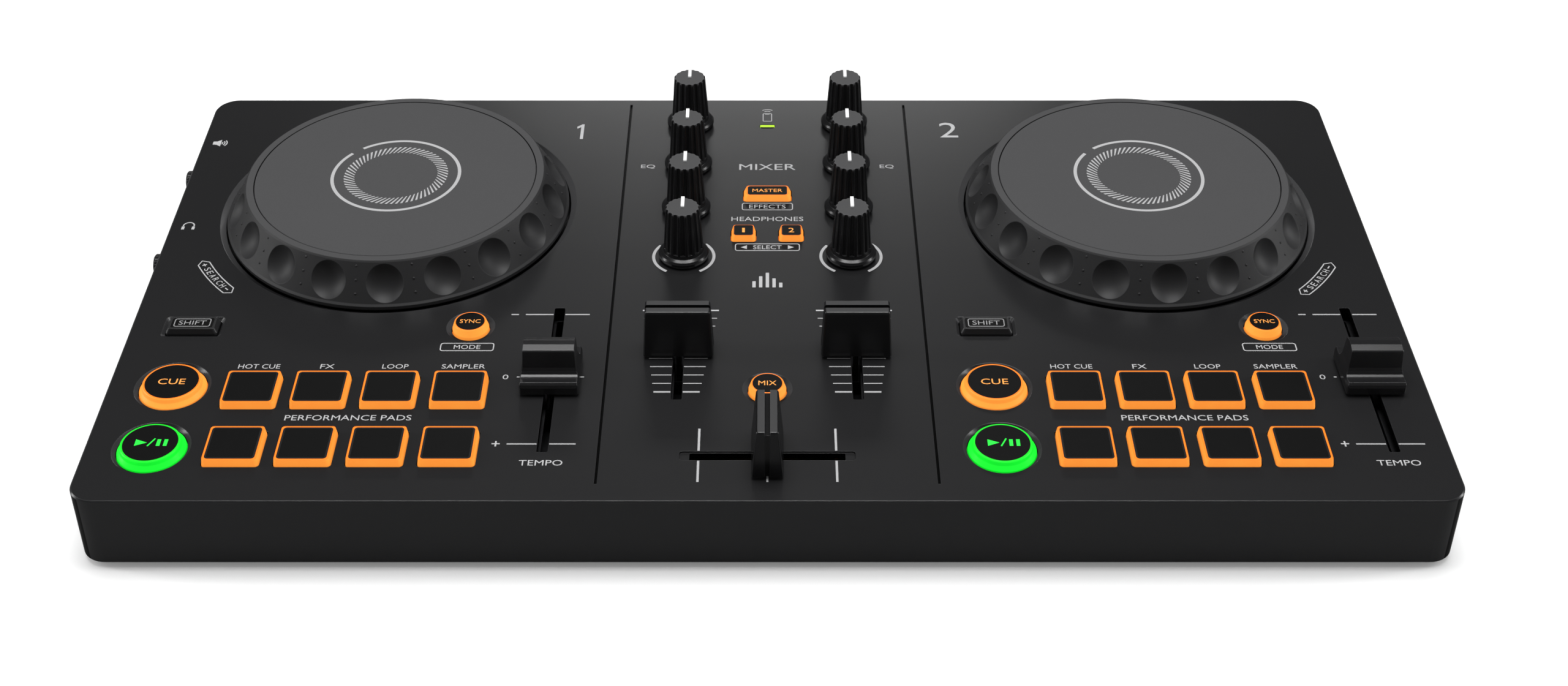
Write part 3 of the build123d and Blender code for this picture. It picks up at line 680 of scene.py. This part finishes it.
def centre_print(layer):
    """Labels and symbols on the middle line of the mixer."""
    badge(layer, "EFFECTS", middle("master_button").y / mm - 6.8, 17.7, 4.5, 2.3, 12.6)
    phones_y = middle("headphone_button_1").y / mm
    layer.words("HEADPHONES", (0, phones_y + 9.9), 2.6, 24.7)
    select_y = phones_y - 7.0
    badge(layer, "SELECT", select_y, 21.9, 4.3, 2.2, 9.6)
    for sign in (-1, 1):
        base = [(sign * 6.9, select_y + sign * s) for s in (1.1, -1.1)]
        layer.outline([(sign * 9.0, select_y)] + base)
    layer.words("MIXER", (0, 66.0), 3.7, 20.0)
    for i, tall in enumerate((3.4, 6.2, 8.2, 5.0, 2.6)):
        x = 2.2 * (i - 2)
        layer.line((x, -6.6), (x, -6.6 + tall), 1.1)
    layer.box((0.0, light_y + 6.2), 3.4, 5.6, 0.3, 0.5)
    layer.line((-0.8, light_y + 8.5), (0.8, light_y + 8.5), 0.3)
    for radius in (1.5, 2.7):
        layer.arc((0.0, light_y + 8.9), radius, radius + 0.3, 50, 130)


mixer_layer = Print("mixer_print", panel_z)
mixer_print(mixer_layer)
crossfader_print(mixer_layer)
centre_print(mixer_layer)
mixer_layer.finish("case", white_ink)

pad_words = ("HOT CUE", "FX", "LOOP", "SAMPLER")
pad_word_widths = (13.1, 4.4, 8.2, 13.6)
tempo_ends = (32.4, -32.2)


def tempo_scale(layer, x, y):
    """End lines, minus and plus signs, middle marks and labels round a tempo slider at x, y."""
    for end in tempo_ends:
        layer.line((x - 10.85, y + end), (x - slot_edge, y + end), thin)
        layer.line((x + slot_edge, y + end), (x + 9.8, y + end), thin)
    layer.line((x - 15.5, y + 32.4), (x - 13.1, y + 32.4), thin)
    layer.line((x - 15.4, y - 32.1), (x - 12.9, y - 32.1), thin)
    layer.line((x - 14.15, y - 33.35), (x - 14.15, y - 32.35), thin)
    layer.line((x - 14.15, y - 31.85), (x - 14.15, y - 30.85), thin)
    layer.line((x - 10.8, y), (x - 9.9, y), thin)
    layer.line((x + 8.7, y), (x + 10.1, y), thin)
    layer.words("0", (x - 14.3, y), 2.3, 1.8)
    layer.words("TEMPO", (x, y - 40.8), 2.5, 13.0)


def deck_print(side):
    """Pad and button labels, the tempo scale and the deck's number."""
    deck = middle(f"jog_{side}_plate")
    layer = Print(f"deck_{side}_print", panel_z, (deck.x, 0.0))
    rear_row = middle(f"pad_{side}_1").y / mm
    front_row = middle(f"pad_{side}_5").y / mm
    for i, word in enumerate(pad_words):
        x = (middle(f"pad_{side}_{i + 1}").x - deck.x) / mm
        layer.words(word, (x, rear_row + 12.8), label_height, pad_word_widths[i])
    layer.words("PERFORMANCE PADS", (-0.3, (rear_row + front_row) / 2 + 1.05), 2.5, 38.5)
    sync = middle(f"sync_button_{side}")
    mode_place = ((sync.x - deck.x) / mm, sync.y / mm - 10.7)
    layer.box(mode_place, 17.1, 4.2, 0.35, 1.0)
    layer.words("MODE", mode_place, 2.1, 8.4)
    slider = middle(f"tempo_slider_{side}")
    tempo_scale(layer, (slider.x - deck.x) / mm, slider.y / mm)
    if side == 1:
        deck_one(layer, 59.6, deck.y / mm + 44.5)
    else:
        layer.words("2", (-61.1, deck.y / mm + 50.6), 10.0, 6.6, bold=-0.004)
    return layer


def deck_one(layer, x, y):
    """A figure 1 with a thin stem and a sloping flag."""
    layer.outline([(x - 0.5, y), (x + 0.6, y), (x + 0.6, y + 10.0), (x - 0.3, y + 10.0), (x - 0.5, y + 9.6)])
    layer.outline([(x - 1.85, y + 7.0), (x - 0.45, y + 8.2), (x - 0.45, y + 9.7), (x - 2.0, y + 8.3)])


search_near, search_middle, search_far = 67.2, 69.35, 71.5  # radii round the middle of the jog wheel
search_half = 7.8  # degrees from the middle of the frame to its ends
search_letters = 4.75  # degrees from the middle of the frame to the first and last letter
search_signs = ((-7.1, True), (6.8, False))  # degrees from the middle of the frame; True for a plus


def search_badge(layer, side, deck_y):
    """A bent frame that follows the jog wheel, with its legend and a plus and minus sign."""
    middle_angle = -143.5 if side == 1 else -37.5

    def at(radius, offset):
        angle = math.radians(middle_angle + offset)
        return (radius * math.cos(angle), deck_y + radius * math.sin(angle))

    def ring(inset):
        steps = [search_half * (i / 6 - 1) for i in range(13)]
        near = [at(search_near + inset, s * (1 - inset / 30)) for s in steps]
        far = [at(search_far - inset, s * (1 - inset / 30)) for s in reversed(steps)]
        tip = math.degrees((2.0 - inset * 1.1) / 69.4)
        right, left = at(search_middle, search_half + tip), at(search_middle, -search_half - tip)
        return near + [right] + far + [left]

    layer.band(ring(0.38), ring(0.0), True)
    word = "SEARCH"
    for i, letter in enumerate(word):
        offset = search_letters * (2 * i / (len(word) - 1) - 1)
        turn = math.radians(middle_angle + offset) + math.pi / 2
        layer.words(letter, at(search_middle, offset), 2.2, 1.5, turn)
    for offset, plus in search_signs:
        angle = math.radians(middle_angle + offset)
        along = Vector((-math.sin(angle), math.cos(angle)))
        out = Vector((math.cos(angle), math.sin(angle)))
        point = Vector(at(search_middle, offset))
        layer.line(point - along * 0.75, point + along * 0.75, 0.42)
        if plus:
            layer.line(point - out * 0.8, point - out * 0.25, 0.42)
            layer.line(point + out * 0.25, point + out * 0.8, 0.42)


for side in sides:
    layer = deck_print(side)
    search_badge(layer, side, middle(f"jog_{side}_plate").y / mm)
    layer.finish("case", white_ink)


def edge_print():
    """The loudspeaker and headphone symbols by the side dials."""
    layer = Print("edge_print", panel_z)
    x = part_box("top_case")[0].x / mm
    speaker_y = middle("master_level_dial").y / mm + 11.8
    layer.outline([(x + 3.8, speaker_y - 1.0), (x + 5.2, speaker_y - 1.1), (x + 6.7, speaker_y - 2.15),
                   (x + 6.7, speaker_y + 2.15), (x + 5.2, speaker_y + 1.1), (x + 3.8, speaker_y + 1.0)])
    for radius in (0.75, 1.55, 2.35):
        layer.arc((x + 6.3, speaker_y), radius, radius + 0.4, -42, 42)
    phones_y = middle("headphone_level_dial").y / mm + 10.9
    layer.arc((x + 6.3, phones_y), 1.6, 2.05, -15, 195)
    for sign in (-1, 1):
        layer.line((x + 6.3 + sign * 1.75, phones_y - 0.6), (x + 6.3 + sign * 1.75, phones_y - 2.3), 1.0)
    layer.finish("case", white_ink)


edge_print()


jog_ticks = 64
jog_tick_slant = math.radians(9.2)


def jog_print(side):
    """The broken ring and the band of slanted ticks on the jog plate."""
    plate = f"jog_{side}_plate"
    centre = middle(plate)
    layer = Print(f"jog_{side}_ring_print", top_of(plate), centre)
    layer.arc((0, 0), 21.05, 22.2, 141 - 360, 129)
    for i in range(jog_ticks):
        base = 2 * math.pi * i / jog_ticks
        corners = []
        for radius, lean, half in ((14.1, 0.0, 0.22), (17.7, -jog_tick_slant, 0.4)):
            for sign in (1, -1):
                angle = base + lean + sign * half / radius
                corners.append((radius * math.cos(angle), radius * math.sin(angle)))
        layer.outline([corners[0], corners[1], corners[3], corners[2]])
    layer.finish(f"jog_{side}", jog_ink)


for side in sides:
    jog_print(side)


def knob_pointer(name):
    """A raised white bar from the middle of the knob's top to just past its rear edge."""
    layer = Print(f"{name}_pointer", top_of(name), middle(name))
    layer.high += 0.45 * mm
    layer.line((0, -0.1), (0, 5.5), 1.1)
    layer.finish(name, pointer_paint_and_glow)


for name in knobs:
    knob_pointer(name)


def legend(node, name, draw, finish):
    """Marks on the top of a key, drawn by a function that is given the layer."""
    layer = Print(name, top_of(node), middle(node))
    draw(layer)
    layer.finish(node, finish)


def cue_words(layer):
    layer.words("CUE", (0, 0), 2.7, 8.4)


def play_symbols(layer):
    layer.outline([(-4.5, -1.5), (-1.0, 0.0), (-4.5, 1.5)])
    layer.line((-0.55, -1.6), (1.15, 1.9), 0.45)
    for x in (2.5, 4.6):
        layer.line((x, -1.5), (x, 1.5), 1.1)


def sync_words(layer):
    layer.words("SYNC", (0, 0), 1.9, 6.6)


def shift_words(layer):
    layer.box((0, 0), 11.7, 4.2, 0.3, 0.8)
    layer.words("SHIFT", (0, 0), 2.2, 8.8)


def master_words(layer):
    layer.words("MASTER", (0, 0), 1.9, 10.4)


def mix_words(layer):
    layer.words("MIX", (0, 0), 2.2, 5.6)


for side in sides:
    legend(f"cue_button_{side}", f"cue_{side}_legend", cue_words, amber_ink)
    legend(f"play_button_{side}", f"play_{side}_legend", play_symbols, green_ink)
    legend(f"sync_button_{side}", f"sync_{side}_legend", sync_words, amber_ink)
    legend(f"shift_button_{side}", f"shift_{side}_legend", shift_words, grey_ink)
    number = lambda layer, side=side: layer.words(str(side), (0, 0), 2.6, (0.9, 1.9)[side - 1])
    legend(f"headphone_button_{side}", f"headphone_{side}_legend", number, amber_ink)
legend("master_button", "master_legend", master_words, amber_ink)


def mask_ring(node, width):
    """The black mask printed round a key's top plate, which leaves a thin lit edge outside it."""
    low, high = plates[node]
    layer = Print(f"{node}_mask", top_of(node), middle(node))
    size = (high - low) / mm
    layer.box((0, 0), size.x + 2 * width, size.y + 2 * width, width + 0.1, width + 0.6)
    layer.finish(node, mask_ink)


for name in pads:
    mask_ring(name, 0.5)
for name in ("master_button", "headphone_button_1", "headphone_button_2"):
    mask_ring(name, 0.25)
legend("mix_button", "mix_legend", mix_words, amber_ink)


dimples = 18
dimple_start = 13.3
dot_rows = ((51.5, 11.9), (53.85, 7.9), (56.1, 4.0))  # radius, height over the foot of the rim
rim_height = 13.5
rim_slope = 60


def rim_dots(side):
    """Three raised grip dots between each pair of dimples on the jog rim."""
    centre = middle(f"jog_{side}_plate")
    foot = top_of(f"jog_{side}_plate") - rim_height * mm
    flat = Matrix.Diagonal((0.42 * mm, 0.42 * mm, 0.22 * mm, 1.0))
    shape = bmesh.new()
    for i in range(dimples):
        angle = math.radians(dimple_start + (i + 0.5) * 360 / dimples)
        tilt = Euler((0, math.radians(rim_slope), angle)).to_matrix().to_4x4()
        for radius, height in dot_rows:
            x = centre.x + radius * mm * math.cos(angle)
            y = centre.y + radius * mm * math.sin(angle)
            place = Matrix.Translation((x, y, foot + height * mm)) @ tilt @ flat
            bmesh.ops.create_icosphere(shape, subdivisions=2, radius=1.0, matrix=place)
    for face in shape.faces:
        face.smooth = True
    made = piece(f"jog_{side}_grip_dots", shape, jog_rim_finish)
    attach(made, f"jog_{side}")


for side in sides:
    rim_dots(side)

# ---------------------------------------------------------------- studio

sky_strength = 0.35
mirrored_sky_strength = 0.05


def floor():
    """A pale sheet under the object, with a faint paper tooth."""
    paper = Finish("studio_paper")
    tooth = paper.noise(1.2 * mm, 3.0)
    path = paper.add("ShaderNodeLightPath")
    mirrored = paper.maths("MULTIPLY", path.outputs["Is Glossy Ray"], 0.85)
    sheet = paper.mix(tooth, (0.93, 0.93, 0.93, 1), (0.96, 0.96, 0.96, 1))
    paper.set(Base_Color=paper.mix(mirrored, sheet, (0.0, 0.0, 0.0, 1)), Emission_Color=sheet)
    paper.set(Emission_Strength=paper.maths("MULTIPLY", path.outputs["Is Camera Ray"], 0.16))
    paper.set(Roughness=0.9, Specular_IOR_Level=0.1, Normal=paper.bump(tooth, 0.02 * mm))
    shape = bmesh.new()
    bmesh.ops.create_grid(shape, x_segments=16, y_segments=16, size=4.0)
    made = piece("studio_floor", shape, paper)
    made.location = (0, 0, cad_box[0].z - 0.02 * mm)


def area_light(name, place, aim, size, power):
    """A rectangular light that faces the point aim."""
    light = bpy.data.lights.new(name, "AREA")
    light.shape = "RECTANGLE"
    light.size, light.size_y = size
    light.energy = power
    made = bpy.data.objects.new(name, light)
    made.location = place
    made.rotation_euler = (Vector(aim) - Vector(place)).to_track_quat("-Z", "Y").to_euler()
    bpy.context.scene.collection.objects.link(made)


def studio_world():
    """White surroundings, which shiny surfaces mirror more dimly."""
    world = bpy.data.worlds.new("studio")
    world.use_nodes = True
    bpy.context.scene.world = world
    tree = world.node_tree
    background = tree.nodes["Background"]
    background.inputs["Color"].default_value = (1, 1, 1, 1)
    path = tree.nodes.new("ShaderNodeLightPath")
    dim = tree.nodes.new("ShaderNodeMapRange")
    dim.inputs["To Min"].default_value = sky_strength
    dim.inputs["To Max"].default_value = mirrored_sky_strength
    tree.links.new(path.outputs["Is Glossy Ray"], dim.inputs["Value"])
    tree.links.new(dim.outputs["Result"], background.inputs["Strength"])


def camera():
    """The camera, as solved from the straight edges of the body in the photo."""
    data = bpy.data.cameras.new("camera")
    data.lens = 50
    data.sensor_width = 36
    data.shift_x = 0.0106
    data.shift_y = -0.0293
    made = bpy.data.objects.new("camera", data)
    made.location = (0, -0.58463, 0.44760)
    made.rotation_euler = (math.radians(53.64), 0, 0)
    bpy.context.scene.collection.objects.link(made)
    bpy.context.scene.camera = made


floor()
area_light("rear_strip", (0, 1.55, 0.66), (0, 0.1, 0), (0.6, 0.15), 2.1)
area_light("overhead_tube", (0, -0.06, 1.2), (0, 0, 0), (0.9, 0.05), 2.0)
for sign in (-1, 1):
    area_light(f"side_strip_{sign}", (sign * 1.2, 0.1, 0.45), (0, 0, 0), (0.2, 0.9), 5.0)
area_light("top_softbox", (0, 0.2, 1.8), (0, 0, 0), (1.4, 0.9), 25)
studio_world()
camera()
bpy.context.scene.view_settings.view_transform = "Standard"
